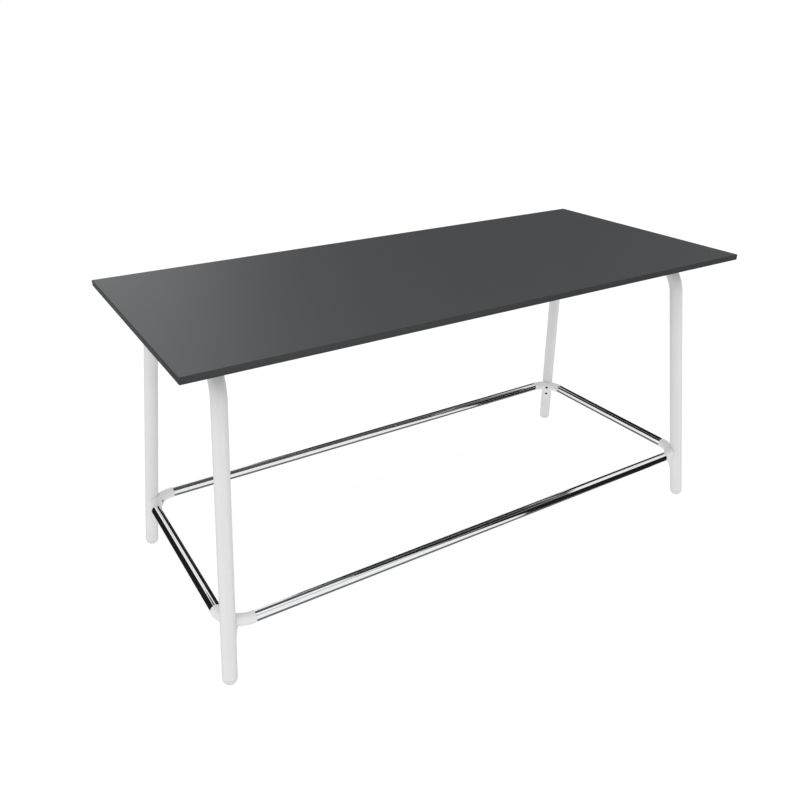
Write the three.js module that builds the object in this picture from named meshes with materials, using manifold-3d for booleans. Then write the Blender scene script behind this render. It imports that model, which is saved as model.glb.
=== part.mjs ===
// A standing meeting table. A laminated top sits on two end frames, each one round tube bent to an
// upside-down U and splayed outwards both ways. Two beams tie the frames together under the top, a chrome
// footrest ring is held to the legs by four moulded corner brackets, and four domed levelling feet screw into
// the leg ends. Millimetres, +Z up, +X along the table, -Y to the front. The origin is on the floor under the
// middle of the top.

import * as THREE from 'three';
import { mergeVertices } from 'three/addons/utils/BufferGeometryUtils.js';
import Module from 'manifold-3d';

const wasm = await Module();
wasm.setup();

// Tabletop
const TOP_LENGTH = 1800;
const TOP_DEPTH = 800;
const CORE_THICKNESS = 16;
const SHEET_THICKNESS = 0.8;
const BAND_THICKNESS = 2;
const BAND_EDGE_RADIUS = 1.6;

// End frames
const FRAME_HEIGHT = 888;
const LEG_RADIUS = 20;
const LEG_WALL = 2;
const SPLAY = THREE.MathUtils.degToRad(6);
const FOOT_INSET_LENGTH = 37;
const FOOT_INSET_DEPTH = 39.5;
const BEND_RADIUS = 105;

// Fixing plates and the screws that hold the top
const PLATE_THICKNESS = 3;
const PLATE_WIDTH = 30;
const PLATE_MARGIN = 10;
const PLATE_TO_BEAM = 60;
const WELD_WIDTH = 10;
const WELD_SINK = 1;
const TOP_SCREW = {
  headRadius: 4.5,
  headHeight: 3,
  shankRadius: 2.5,
  length: 16,
  tip: 3,
};
const HEAD_CLEARANCE = 3.5;

// Beams under the top, with their bolts
const BEAM_HEIGHT = 40;
const BEAM_WIDTH = 20;
const BEAM_WALL = 2;
const BEAM_FROM_BEND = 37;
const BLOCK_LENGTH = 22;
const BLOCK_SETBACK = 3;
const WASHER_RADIUS = 9;
const WASHER_THICKNESS = 3;
const BOLT_END_SHOWING = 4;

// Footrest ring
const RAIL_HEIGHT = 177;
const RAIL_OUTSET = 5.8;
const RAIL_RADIUS = 15;
const RAIL_WALL = 1.5;
const ELBOW_RADIUS = 75;
const ELBOW_REACH = 77;
const ELBOW_PROUD = 1.3;
const SPIGOT_LENGTH = 24;

// Tongue and screws of a corner bracket
const TONGUE_WIDTH = 25;
const TONGUE_TAPER = THREE.MathUtils.degToRad(14.5);
const TONGUE_TIP_THICKNESS = 1;
const TONGUE_FLARE = 9;
const TONGUE_EDGE = 4;
const SCREW_IN_LEG = 13.2;
const BRACKET_SCREW = {
  headRadius: 5,
  headHeight: 4,
  shankRadius: 3,
  tip: 1,
  socketRadius: 2.3,
  socketDepth: 2.4,
};

// The two screws of a bracket: how far up the leg from the footrest, and how much bracket is under the head
const BRACKET_SCREWS = {
  upper: { rise: 3, underHead: 12.9 },
  lower: { rise: -32, underHead: 4.4 },
};

// Levelling feet
const STEM_RADIUS = 5;
const STEM_LENGTH = 40;
const STEM_SEAT = 11;
const INSERT_LENGTH = 30;
const INSERT_RIB = 1;

// Clearance between pieces that fit together, and facets on round shapes
const FIT_GAP = 0.3;
const LEG_SIDES = 18;
const RAIL_SIDES = 16;
const SCREW_SIDES = 8;
const HEXAGON = 6;
const SMALL_ARC_STEPS = 4;
const EDGE_STEPS = 2;
const BEND_STEPS = 7;
const ELBOW_STEPS = 7;

// Corners closer than this count as one corner when a shape is made solid
const MERGE_DISTANCE = 1e-4;

// Places that follow from the sizes above
const TOP_THICKNESS = CORE_THICKNESS + 2 * SHEET_THICKNESS;
const SLOPE = Math.tan(SPLAY);
const TILT = Math.atan(Math.SQRT2 * SLOPE);
const DOME_RADIUS = LEG_RADIUS;
const FOOT_X = TOP_LENGTH / 2 - FOOT_INSET_LENGTH;
const FOOT_Y = TOP_DEPTH / 2 - FOOT_INSET_DEPTH;
const PLATE_BOTTOM = FRAME_HEIGHT - PLATE_THICKNESS;
const BAR_HEIGHT = PLATE_BOTTOM - LEG_RADIUS;
const legX = (height) => FOOT_X - (height - DOME_RADIUS) * SLOPE;
const legY = (height) => FOOT_Y - (height - DOME_RADIUS) * SLOPE;
const BAR_X = legX(BAR_HEIGHT);
const BEND_TURN = Math.acos(SLOPE / Math.hypot(1, SLOPE, SLOPE));
const BAR_STRAIGHT = legY(BAR_HEIGHT) - BEND_RADIUS * Math.tan(BEND_TURN / 2);
const BEAM_Y = BAR_STRAIGHT - BEAM_FROM_BEND - BEAM_WIDTH / 2;
const PLATE_Y = BEAM_Y - PLATE_TO_BEAM;
const SCREW_BESIDE_BAR = LEG_RADIUS + TOP_SCREW.headRadius + HEAD_CLEARANCE;
const SCREW_BESIDE_BEAM = BEAM_WIDTH / 2 + TOP_SCREW.headRadius + HEAD_CLEARANCE;
const BOLT_SEAT = LEG_RADIUS + FIT_GAP + WASHER_THICKNESS;
const BEAM_BOLT = {
  headRadius: 6.5,
  headHeight: 8,
  shankRadius: 4,
  length: BOLT_SEAT + LEG_RADIUS + BLOCK_SETBACK + BLOCK_LENGTH + BOLT_END_SHOWING,
  tip: 1,
  socketRadius: 3.4,
  socketDepth: 4,
};
const RING_X = legX(RAIL_HEIGHT) + RAIL_OUTSET;
const RING_Y = legY(RAIL_HEIGHT) + RAIL_OUTSET;
const ELBOW_HALF = RAIL_RADIUS + ELBOW_PROUD;

const ENDS = { left: -1, right: 1 };
const SIDES = { front: -1, rear: 1 };

const FINISHES = {
  laminate: { color: 0x47494b, roughness: 0.45, metalness: 0 },
  chipboard: { color: 0xb79a6b, roughness: 0.9, metalness: 0 },
  whitePaint: { color: 0xe6e6e5, roughness: 0.4, metalness: 0 },
  whitePlastic: { color: 0xe2e2e1, roughness: 0.5, metalness: 0 },
  chrome: { color: 0xd8dadc, roughness: 0.05, metalness: 1 },
  zincSteel: { color: 0xa9abad, roughness: 0.35, metalness: 1 },
  blackSteel: { color: 0x1c1c1d, roughness: 0.5, metalness: 0.8 },
  greyPlastic: { color: 0x5a5b5c, roughness: 0.6, metalness: 0 },
};

// Turns a closed geometry into a solid that can be joined and cut.
function solid(geometry) {
  const bare = geometry.clone();
  bare.deleteAttribute('normal');
  bare.deleteAttribute('uv');
  const merged = mergeVertices(bare, MERGE_DISTANCE);
  const corners = merged.index.array;
  const triangles = [];
  for (let i = 0; i < corners.length; i += 3) {
    const [a, b, c] = corners.slice(i, i + 3);
    if (a !== b && b !== c && c !== a) triangles.push(a, b, c);
  }
  const vertProperties = new Float32Array(merged.attributes.position.array);
  const mesh = new wasm.Mesh({ numProp: 3, vertProperties, triVerts: new Uint32Array(triangles) });
  return new wasm.Manifold(mesh);
}

// Adds one named piece to a group, with a material of its own.
function addPiece(group, name, body, finish) {
  const mesh = body.getMesh();
  const geometry = new THREE.BufferGeometry();
  geometry.setAttribute('position', new THREE.BufferAttribute(mesh.vertProperties, 3));
  geometry.setIndex(new THREE.BufferAttribute(mesh.triVerts, 1));
  geometry.computeVertexNormals();
  const piece = new THREE.Mesh(geometry, new THREE.MeshStandardMaterial(FINISHES[finish]));
  piece.name = name;
  group.add(piece);
  return piece;
}

// A box given by the middle of its underside.
function block(length, depth, height, x, y, bottom) {
  return solid(new THREE.BoxGeometry(length, depth, height).translate(x, y, bottom + height / 2));
}

// A round bar that starts at the origin and runs up +Z.
function roundBar(radius, length, sides) {
  const bar = new THREE.CylinderGeometry(radius, radius, length, sides);
  return bar.rotateX(Math.PI / 2).translate(0, 0, length / 2);
}

// The radius at which a faceted cutter clears a round piece of the given radius by the fit gap.
function clearOf(radius, sides) {
  return (radius + FIT_GAP) / Math.cos(Math.PI / sides);
}

function circlePoints(radius, sides) {
  const points = [];
  for (let i = 0; i < sides; i += 1) {
    const angle = (2 * Math.PI * i) / sides;
    points.push(new THREE.Vector2(radius * Math.cos(angle), radius * Math.sin(angle)));
  }
  return points;
}

function discShape(radius, sides) {
  return new THREE.Shape(circlePoints(radius, sides));
}

function ringShape(radius, wall, sides) {
  const shape = discShape(radius, sides);
  shape.holes.push(new THREE.Path(circlePoints(radius - wall, sides)));
  return shape;
}

// A centreline that runs straight between corner points and turns every inner corner on an arc.
class BentPath extends THREE.Curve {
  constructor(corners, radius, stepsPerBend) {
    super();
    this.stations = [corners[0]];
    this.tangents = [];
    let direction = null;
    for (let i = 1; i < corners.length - 1; i += 1) {
      const before = corners[i].clone().sub(corners[i - 1]).normalize();
      const after = corners[i + 1].clone().sub(corners[i]).normalize();
      const turn = before.angleTo(after);
      const start = corners[i].clone().addScaledVector(before, -radius * Math.tan(turn / 2));
      const inward = after.clone().addScaledVector(before, -Math.cos(turn)).normalize();
      if (i === 1) this.tangents.push(before);
      for (let step = 0; step <= stepsPerBend; step += 1) {
        const angle = (turn * step) / stepsPerBend;
        const ahead = radius * Math.sin(angle);
        const aside = radius * (1 - Math.cos(angle));
        this.stations.push(start.clone().addScaledVector(before, ahead).addScaledVector(inward, aside));
        const tangent = before.clone().multiplyScalar(Math.cos(angle));
        this.tangents.push(tangent.addScaledVector(inward, Math.sin(angle)));
      }
      direction = after;
    }
    this.stations.push(corners.at(-1));
    this.tangents.push(direction);
  }

  getPoint(t, target = new THREE.Vector3()) {
    const place = t * (this.stations.length - 1);
    const index = Math.min(Math.floor(place), this.stations.length - 2);
    return target.lerpVectors(this.stations[index], this.stations[index + 1], place - index);
  }

  getTangent(t, target = new THREE.Vector3()) {
    return target.copy(this.tangents[Math.round(t * (this.stations.length - 1))]);
  }

  getUtoTmapping(u) {
    return u;
  }
}

function sweep(shape, path) {
  return solid(new THREE.ExtrudeGeometry(shape, { steps: path.stations.length - 1, extrudePath: path }));
}

// A screw that points up +Z, with the underside of its head at the origin.
function plainScrew(screw) {
  const profile = [
    [0, -screw.headHeight],
    [screw.headRadius, -screw.headHeight],
    [screw.headRadius, 0],
    [screw.shankRadius, 0],
    [screw.shankRadius, screw.length - screw.tip],
    [0, screw.length],
  ].map(([radius, height]) => new THREE.Vector2(radius, height));
  return solid(new THREE.LatheGeometry(profile, SCREW_SIDES).rotateX(Math.PI / 2));
}

// The same screw with a hexagon socket in its head.
function socketScrew(screw) {
  const socket = roundBar(screw.socketRadius, 2 * screw.socketDepth, HEXAGON);
  return plainScrew(screw).subtract(solid(socket.translate(0, 0, -screw.headHeight - screw.socketDepth)));
}

// Every place where a screw comes up through a fixing plate: on the bars, either side of the tube,
// and half way along the beams, either side of the beam.
function topScrewPlaces() {
  const places = [];
  for (const [sideName, side] of Object.entries(SIDES)) {
    for (const [endName, end] of Object.entries(ENDS)) {
      const name = `top_screw_${endName}_${sideName}`;
      places.push({ name: `${name}_outer`, x: end * (BAR_X + SCREW_BESIDE_BAR), y: side * PLATE_Y });
      places.push({ name: `${name}_inner`, x: end * (BAR_X - SCREW_BESIDE_BAR), y: side * PLATE_Y });
    }
    places.push({ name: `top_screw_beam_${sideName}_outer`, x: 0, y: side * (BEAM_Y + SCREW_BESIDE_BEAM) });
    places.push({ name: `top_screw_beam_${sideName}_inner`, x: 0, y: side * (BEAM_Y - SCREW_BESIDE_BEAM) });
  }
  return places;
}

const SCREW_PLACES = topScrewPlaces();

function drillForTopScrews(body) {
  const radius = clearOf(TOP_SCREW.shankRadius, SCREW_SIDES);
  const start = PLATE_BOTTOM - PLATE_THICKNESS;
  const depth = PLATE_THICKNESS + TOP_SCREW.length + FIT_GAP;
  let drilled = body;
  for (const place of SCREW_PLACES) {
    const hole = roundBar(radius, depth, SCREW_SIDES).translate(place.x, place.y, start);
    drilled = drilled.subtract(solid(hole));
  }
  return drilled;
}

// An edge band with both outer edges eased and its ends mitred, its outer face towards -Y.
function edgeBand(length) {
  const profile = new THREE.Shape();
  const radius = BAND_EDGE_RADIUS;
  profile.moveTo(BAND_THICKNESS, 0);
  profile.lineTo(BAND_THICKNESS, TOP_THICKNESS);
  profile.lineTo(radius, TOP_THICKNESS);
  profile.absarc(radius, TOP_THICKNESS - radius, radius, Math.PI / 2, Math.PI, false);
  profile.lineTo(0, radius);
  profile.absarc(radius, radius, radius, Math.PI, 1.5 * Math.PI, false);
  profile.closePath();
  const extrusion = { depth: length, bevelEnabled: false, curveSegments: SMALL_ARC_STEPS };
  const band = new THREE.ExtrudeGeometry(profile, extrusion);
  const place = band.attributes.position;
  for (let i = 0; i < place.count; i += 1) {
    const inset = place.getX(i);
    const end = place.getZ(i) > length / 2 ? length / 2 - inset : inset - length / 2;
    place.setXYZ(i, end, inset, place.getY(i));
  }
  return solid(band);
}

function addTabletop(table) {
  const length = TOP_LENGTH - 2 * BAND_THICKNESS;
  const depth = TOP_DEPTH - 2 * BAND_THICKNESS;
  const coreBottom = FRAME_HEIGHT + SHEET_THICKNESS;
  const laminateBottom = coreBottom + CORE_THICKNESS;
  const backing = block(length, depth, SHEET_THICKNESS, 0, 0, FRAME_HEIGHT);
  const core = block(length, depth, CORE_THICKNESS, 0, 0, coreBottom);
  addPiece(table, 'tabletop_backing_sheet', drillForTopScrews(backing), 'laminate');
  addPiece(table, 'tabletop_core', drillForTopScrews(core), 'chipboard');
  const laminate = block(length, depth, SHEET_THICKNESS, 0, 0, laminateBottom);
  addPiece(table, 'tabletop_laminate', laminate, 'laminate');
  const bands = [
    ['front', TOP_LENGTH, TOP_DEPTH / 2, 0],
    ['right', TOP_DEPTH, TOP_LENGTH / 2, 1],
    ['rear', TOP_LENGTH, TOP_DEPTH / 2, 2],
    ['left', TOP_DEPTH, TOP_LENGTH / 2, 3],
  ];
  for (const [name, bandLength, distance, quarterTurns] of bands) {
    const side = new THREE.Group();
    side.rotation.z = (quarterTurns * Math.PI) / 2;
    const band = addPiece(side, `edge_band_${name}`, edgeBand(bandLength), 'laminate');
    band.position.set(0, -distance, FRAME_HEIGHT);
    table.add(side);
  }
  for (const place of SCREW_PLACES) {
    const screw = addPiece(table, place.name, plainScrew(TOP_SCREW), 'zincSteel');
    screw.position.set(place.x, place.y, PLATE_BOTTOM);
  }
}

// The frame of a leg at a height: +Z runs up the leg and +X points out of the table, square to the leg.
function legFrame(end, side, height) {
  const place = new THREE.Matrix4().makeTranslation(end * legX(height), side * legY(height), height);
  place.multiply(new THREE.Matrix4().makeRotationZ(Math.atan2(side, end)));
  return place.multiply(new THREE.Matrix4().makeRotationY(-TILT));
}

// A round cutter along the axis of a bracket screw, from one distance to another on the leg's inner side.
function screwCutter(radius, from, to, rise) {
  const cutter = roundBar(clearOf(radius, SCREW_SIDES), from - to, SCREW_SIDES);
  return cutter.rotateY(Math.PI / 2).translate(-from, 0, rise);
}

// The bar of an end frame as a solid cylinder, grown by the fit gap, to cope what butts against it.
function barCutter(end) {
  const bar = roundBar(clearOf(LEG_RADIUS, LEG_SIDES), TOP_DEPTH, LEG_SIDES);
  bar.translate(0, 0, -TOP_DEPTH / 2).rotateX(Math.PI / 2);
  return solid(bar.translate(end * BAR_X, 0, BAR_HEIGHT));
}

// A clearance hole for a beam bolt, along X through the bar and the block in the beam's end.
function boltHole(end, side) {
  const length = BEAM_BOLT.length + BLOCK_LENGTH;
  const hole = roundBar(clearOf(BEAM_BOLT.shankRadius, SCREW_SIDES), length, SCREW_SIDES);
  hole.rotateY(-end * (Math.PI / 2)).translate(end * (BAR_X + BOLT_SEAT), side * BEAM_Y, BAR_HEIGHT);
  return solid(hole);
}

function endFrame(end) {
  const foot = (side) => new THREE.Vector3(0, 0, FIT_GAP).applyMatrix4(legFrame(end, side, DOME_RADIUS));
  const shoulder = (side) => new THREE.Vector3(end * BAR_X, side * legY(BAR_HEIGHT), BAR_HEIGHT);
  const path = new BentPath([foot(-1), shoulder(-1), shoulder(1), foot(1)], BEND_RADIUS, BEND_STEPS);
  const plateLength = 2 * (SCREW_BESIDE_BAR + PLATE_MARGIN);
  const weldHeight = WELD_SINK + PLATE_THICKNESS / 2;
  let frame = sweep(ringShape(LEG_RADIUS, LEG_WALL, LEG_SIDES), path);
  for (const side of Object.values(SIDES)) {
    const y = side * PLATE_Y;
    frame = frame.add(block(plateLength, PLATE_WIDTH, PLATE_THICKNESS, end * BAR_X, y, PLATE_BOTTOM));
    frame = frame.add(block(WELD_WIDTH, PLATE_WIDTH, weldHeight, end * BAR_X, y, PLATE_BOTTOM - WELD_SINK));
    frame = frame.subtract(boltHole(end, side));
    for (const { rise } of Object.values(BRACKET_SCREWS)) {
      const outside = LEG_RADIUS + LEG_WALL;
      const hole = screwCutter(BRACKET_SCREW.shankRadius, outside, outside - 3 * LEG_WALL, rise);
      frame = frame.subtract(solid(hole.applyMatrix4(legFrame(end, side, RAIL_HEIGHT))));
    }
  }
  return drillForTopScrews(frame);
}

// A beam is a rectangular tube, coped on both bars, with a threaded block welded in each end and a fixing
// plate half way along.
function beam(side) {
  const y = side * BEAM_Y;
  const bottom = PLATE_BOTTOM - BEAM_HEIGHT;
  const boreHeight = BEAM_HEIGHT - 2 * BEAM_WALL;
  const boreWidth = BEAM_WIDTH - 2 * BEAM_WALL;
  const plateLength = 2 * (SCREW_BESIDE_BEAM + PLATE_MARGIN);
  let body = block(2 * BAR_X, BEAM_WIDTH, BEAM_HEIGHT, 0, y, bottom);
  body = body.subtract(block(2 * BAR_X + BEAM_WIDTH, boreWidth, boreHeight, 0, y, bottom + BEAM_WALL));
  for (const end of Object.values(ENDS)) {
    const x = end * (BAR_X - LEG_RADIUS - BLOCK_SETBACK - BLOCK_LENGTH / 2);
    const height = boreHeight + BEAM_WALL;
    body = body.add(block(BLOCK_LENGTH, boreWidth + BEAM_WALL, height, x, y, bottom + BEAM_WALL / 2));
    body = body.subtract(boltHole(end, side)).subtract(barCutter(end));
  }
  const weld = block(PLATE_WIDTH, BEAM_WIDTH / 2, BEAM_WALL, 0, y, PLATE_BOTTOM - BEAM_WALL / 2);
  const plate = block(PLATE_WIDTH, plateLength, PLATE_THICKNESS, 0, y, PLATE_BOTTOM);
  return drillForTopScrews(body.add(weld).add(plate));
}

// A washer with one face hollowed to sit on the round bar, its axis along X.
function saddleWasher(end, side) {
  const disc = roundBar(WASHER_RADIUS, BOLT_SEAT, RAIL_SIDES).rotateY(end * (Math.PI / 2));
  const body = solid(disc.translate(end * BAR_X, side * BEAM_Y, BAR_HEIGHT));
  return body.subtract(barCutter(end)).subtract(boltHole(end, side));
}

function addUnderframe(table) {
  for (const [endName, end] of Object.entries(ENDS)) {
    addPiece(table, `end_frame_${endName}`, endFrame(end), 'whitePaint');
    for (const [sideName, side] of Object.entries(SIDES)) {
      addPiece(table, `saddle_washer_${endName}_${sideName}`, saddleWasher(end, side), 'zincSteel');
      const bolt = addPiece(table, `beam_bolt_${endName}_${sideName}`, socketScrew(BEAM_BOLT), 'zincSteel');
      bolt.rotation.y = -end * (Math.PI / 2);
      bolt.position.set(end * (BAR_X + BOLT_SEAT), side * BEAM_Y, BAR_HEIGHT);
    }
  }
  for (const [sideName, side] of Object.entries(SIDES)) {
    addPiece(table, `beam_${sideName}`, beam(side), 'whitePaint');
  }
}

// A straight footrest tube, centred, along X.
function footrestTube(length) {
  const section = ringShape(RAIL_RADIUS, RAIL_WALL, RAIL_SIDES);
  const tube = new THREE.ExtrudeGeometry(section, { depth: length, bevelEnabled: false });
  return solid(tube.translate(0, 0, -length / 2).rotateY(Math.PI / 2));
}

function addFootrest(table) {
  const trim = 2 * (ELBOW_REACH + FIT_GAP);
  for (const [name, side] of Object.entries(SIDES)) {
    const tube = addPiece(table, `footrest_tube_${name}`, footrestTube(2 * RING_X - trim), 'chrome');
    tube.position.set(0, side * RING_Y, RAIL_HEIGHT);
  }
  for (const [name, end] of Object.entries(ENDS)) {
    const tube = addPiece(table, `footrest_tube_${name}`, footrestTube(2 * RING_Y - trim), 'chrome');
    tube.position.set(end * RING_X, 0, RAIL_HEIGHT);
    tube.rotation.z = Math.PI / 2;
  }
}

// The tongue's outline, seen square to its flat inner face: flared into the elbow above, round at the tip.
function tongueOutline(length) {
  const half = TONGUE_WIDTH / 2;
  const wide = half + TONGUE_FLARE;
  const flareEnd = -ELBOW_HALF - TONGUE_FLARE;
  const outline = new THREE.Shape();
  outline.moveTo(wide, 0);
  outline.lineTo(-wide, 0);
  outline.lineTo(-wide, -ELBOW_HALF);
  outline.absarc(-wide, flareEnd, TONGUE_FLARE, Math.PI / 2, 0, true);
  outline.lineTo(-half, half - length);
  outline.absarc(0, half - length, half, Math.PI, 2 * Math.PI, false);
  outline.lineTo(half, flareEnd);
  outline.absarc(wide, flareEnd, TONGUE_FLARE, Math.PI, Math.PI / 2, true);
  outline.closePath();
  return outline;
}

// A corner bracket, its origin on the leg's axis at the height of the footrest and +X pointing out of the
// table. The elbow passes on the inner side of the leg, and the tongue's inner face runs tangent from the
// elbow to the leg.
function cornerBracket() {
  const cornerX = RAIL_OUTSET * Math.SQRT2;
  const onRail = (distance, side) => {
    const step = distance * Math.SQRT1_2;
    return new THREE.Vector3(cornerX - step, side * step, 0);
  };
  const elbowPath = (reach) => {
    const corners = [onRail(reach, -1), onRail(0, 0), onRail(reach, 1)];
    return new BentPath(corners, ELBOW_RADIUS, ELBOW_STEPS);
  };
  const elbow = sweep(discShape(ELBOW_HALF, RAIL_SIDES), elbowPath(ELBOW_REACH));
  const spigotRadius = RAIL_RADIUS - RAIL_WALL - FIT_GAP;
  const spigots = sweep(discShape(spigotRadius, RAIL_SIDES), elbowPath(ELBOW_REACH + SPIGOT_LENGTH));

  const apexX = cornerX - ELBOW_RADIUS * (Math.SQRT2 - 1);
  const lean = TILT + TONGUE_TAPER;
  const faceX = apexX - ELBOW_HALF * Math.cos(lean);
  const faceZ = -ELBOW_HALF * Math.sin(lean);
  const faceToLeg = -faceX * Math.cos(TILT) - faceZ * Math.sin(TILT);
  const length = (faceToLeg - LEG_RADIUS - TONGUE_TIP_THICKNESS) / Math.sin(TONGUE_TAPER);
  const tongue = new THREE.ExtrudeGeometry(tongueOutline(length), {
    depth: faceToLeg - LEG_RADIUS / 2 - 2 * TONGUE_EDGE,
    curveSegments: SMALL_ARC_STEPS,
    bevelSegments: EDGE_STEPS,
    bevelThickness: TONGUE_EDGE,
    bevelSize: TONGUE_EDGE,
    bevelOffset: -TONGUE_EDGE,
  });
  tongue.translate(0, 0, TONGUE_EDGE);
  const across = new THREE.Vector3(0, 1, 0);
  const up = new THREE.Vector3(-Math.sin(lean), 0, Math.cos(lean));
  tongue.applyMatrix4(new THREE.Matrix4().makeBasis(across, up, across.clone().cross(up)));
  tongue.translate(faceX, 0, faceZ);

  const legLength = 4 * length;
  const leg = roundBar(clearOf(LEG_RADIUS, LEG_SIDES), legLength, LEG_SIDES);
  leg.translate(0, 0, -legLength / 2).rotateY(-TILT);
  let bracket = elbow.add(spigots).add(solid(tongue)).subtract(solid(leg));
  for (const { rise, underHead } of Object.values(BRACKET_SCREWS)) {
    const counterbore = screwCutter(BRACKET_SCREW.headRadius, 2 * faceToLeg, LEG_RADIUS + underHead, rise);
    const hole = screwCutter(BRACKET_SCREW.shankRadius, faceToLeg, 0, rise);
    bracket = bracket.subtract(solid(counterbore.rotateY(-TILT))).subtract(solid(hole.rotateY(-TILT)));
  }
  return bracket;
}

// A domed foot: half a ball with its middle at the origin, cut square to the leg and drilled for the stem.
function footDome() {
  const ball = new THREE.SphereGeometry(DOME_RADIUS, LEG_SIDES, LEG_SIDES / 2).rotateX(Math.PI / 2);
  const size = 3 * DOME_RADIUS;
  const above = new THREE.BoxGeometry(size, size, size).translate(0, 0, size / 2).rotateY(-TILT);
  const hole = roundBar(clearOf(STEM_RADIUS, SCREW_SIDES), 2 * STEM_SEAT, SCREW_SIDES);
  hole.translate(0, 0, -STEM_SEAT).rotateY(-TILT);
  return solid(ball).subtract(solid(above)).subtract(solid(hole));
}

// The threaded insert in a leg's end, ribbed to grip the tube, from its lower face upwards.
function legInsert() {
  const outer = LEG_RADIUS - LEG_WALL - FIT_GAP;
  const bore = clearOf(STEM_RADIUS, LEG_SIDES);
  const profile = [
    [bore, 0],
    [outer, 0],
    [outer - INSERT_RIB, INSERT_LENGTH / 2],
    [outer, INSERT_LENGTH / 2],
    [outer - INSERT_RIB, INSERT_LENGTH],
    [bore, INSERT_LENGTH],
    [bore, 0],
  ].map(([radius, height]) => new THREE.Vector2(radius, height));
  return solid(new THREE.LatheGeometry(profile, LEG_SIDES).rotateX(Math.PI / 2));
}

// The pieces at each leg: its corner bracket with two screws, and its insert, stem and domed foot.
function addLegFittings(table, endName, sideName) {
  const end = ENDS[endName];
  const side = SIDES[sideName];
  const corner = `${endName}_${sideName}`;

  const bracketPlace = new THREE.Group();
  bracketPlace.position.set(end * legX(RAIL_HEIGHT), side * legY(RAIL_HEIGHT), RAIL_HEIGHT);
  bracketPlace.rotation.z = Math.atan2(side, end);
  addPiece(bracketPlace, `corner_bracket_${corner}`, cornerBracket(), 'whitePlastic');
  const besideLeg = new THREE.Group();
  besideLeg.rotation.y = -TILT;
  bracketPlace.add(besideLeg);
  for (const [name, { rise, underHead }] of Object.entries(BRACKET_SCREWS)) {
    const body = socketScrew({ ...BRACKET_SCREW, length: underHead + SCREW_IN_LEG });
    const screw = addPiece(besideLeg, `bracket_screw_${corner}_${name}`, body, 'blackSteel');
    screw.rotation.y = Math.PI / 2;
    screw.position.set(-LEG_RADIUS - underHead - FIT_GAP, 0, rise);
  }

  const footPlace = new THREE.Group();
  footPlace.position.set(end * FOOT_X, side * FOOT_Y, DOME_RADIUS);
  footPlace.rotation.z = Math.atan2(side, end);
  addPiece(footPlace, `foot_dome_${corner}`, footDome(), 'whitePlastic');
  const alongLeg = new THREE.Group();
  alongLeg.rotation.y = -TILT;
  footPlace.add(alongLeg);
  const stem = solid(roundBar(STEM_RADIUS, STEM_LENGTH, SCREW_SIDES));
  addPiece(alongLeg, `foot_stem_${corner}`, stem, 'zincSteel').position.z = FIT_GAP - STEM_SEAT;
  addPiece(alongLeg, `leg_insert_${corner}`, legInsert(), 'greyPlastic').position.z = FIT_GAP;

  table.add(bracketPlace, footPlace);
}

const table = new THREE.Group();
addTabletop(table);
addUnderframe(table);
addFootrest(table);
for (const endName of Object.keys(ENDS)) {
  for (const sideName of Object.keys(SIDES)) addLegFittings(table, endName, sideName);
}

export default table;
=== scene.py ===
# %% [markdown]
# # A standing meeting table
# A long anthracite top stands on two white end frames, each one round tube bent to an upside-down U. A chrome
# footrest runs round the legs, held by four white corner brackets, and each leg ends in a domed foot. The
# solids of the table come with their places. This lesson dresses them: smooth tubes, moulded brackets, real
# screws and finishes that hold up close by. Lengths are in metres, +Z is up, +X runs along the table and -Y
# is the front.

# %% Load the solids
import math

import bmesh
import bpy
from mathutils import Matrix, Vector


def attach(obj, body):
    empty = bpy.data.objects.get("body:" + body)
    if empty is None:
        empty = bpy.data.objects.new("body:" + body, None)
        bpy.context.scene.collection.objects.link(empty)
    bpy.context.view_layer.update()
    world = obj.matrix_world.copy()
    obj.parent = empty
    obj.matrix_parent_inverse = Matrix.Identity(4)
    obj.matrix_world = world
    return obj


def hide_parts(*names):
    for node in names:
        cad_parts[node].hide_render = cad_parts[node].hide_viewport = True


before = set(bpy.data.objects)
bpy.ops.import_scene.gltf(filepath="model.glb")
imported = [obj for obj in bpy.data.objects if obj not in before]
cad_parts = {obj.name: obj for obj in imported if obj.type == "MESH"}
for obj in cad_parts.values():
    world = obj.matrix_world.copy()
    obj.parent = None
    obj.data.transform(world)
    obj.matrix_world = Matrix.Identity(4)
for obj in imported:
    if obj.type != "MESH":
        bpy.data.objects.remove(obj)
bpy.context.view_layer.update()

# %% [markdown]
# ## Sizes
# A maker writes the sizes of a table down once and lets everything else follow. The legs lean out by the same
# angle along and across the table, so the place of a leg at any height follows from its foot and that angle.

# %% Sizes of the tabletop, the frames and the footrest
TOP_LENGTH = 1.8
TOP_DEPTH = 0.8
TOP_THICKNESS = 0.0176
FRAME_HEIGHT = 0.888
FOOT_INSET_X = 0.037
FOOT_INSET_Y = 0.0395
LEG_RADIUS = 0.020
SPLAY = math.radians(6)
BEND_RADIUS = 0.105
PLATE_THICKNESS = 0.003
BEAM_HEIGHT = 0.040
BEAM_WIDTH = 0.020
BEAM_FROM_BEND = 0.037
PLATE_FROM_BEAM = 0.060
RAIL_HEIGHT = 0.177
RAIL_OUTSET = 0.0058
RAIL_RADIUS = 0.015
FIT_GAP = 0.0003

# %% Places that follow from them
FOOT_X = TOP_LENGTH / 2 - FOOT_INSET_X
FOOT_Y = TOP_DEPTH / 2 - FOOT_INSET_Y
SLOPE = math.tan(SPLAY)
# SPLAY is how a leg leans seen from one side. TILT is its whole lean, and LEAN its lean within its own frame.
TILT = math.atan(math.sqrt(2) * SLOPE)
LEAN = math.atan(math.sin(SPLAY))
BEND_TURN = math.pi / 2 - LEAN
PLATE_BOTTOM = FRAME_HEIGHT - PLATE_THICKNESS
BAR_HEIGHT = PLATE_BOTTOM - LEG_RADIUS


def leg_x(height):
    return FOOT_X - (height - LEG_RADIUS) * SLOPE


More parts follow.
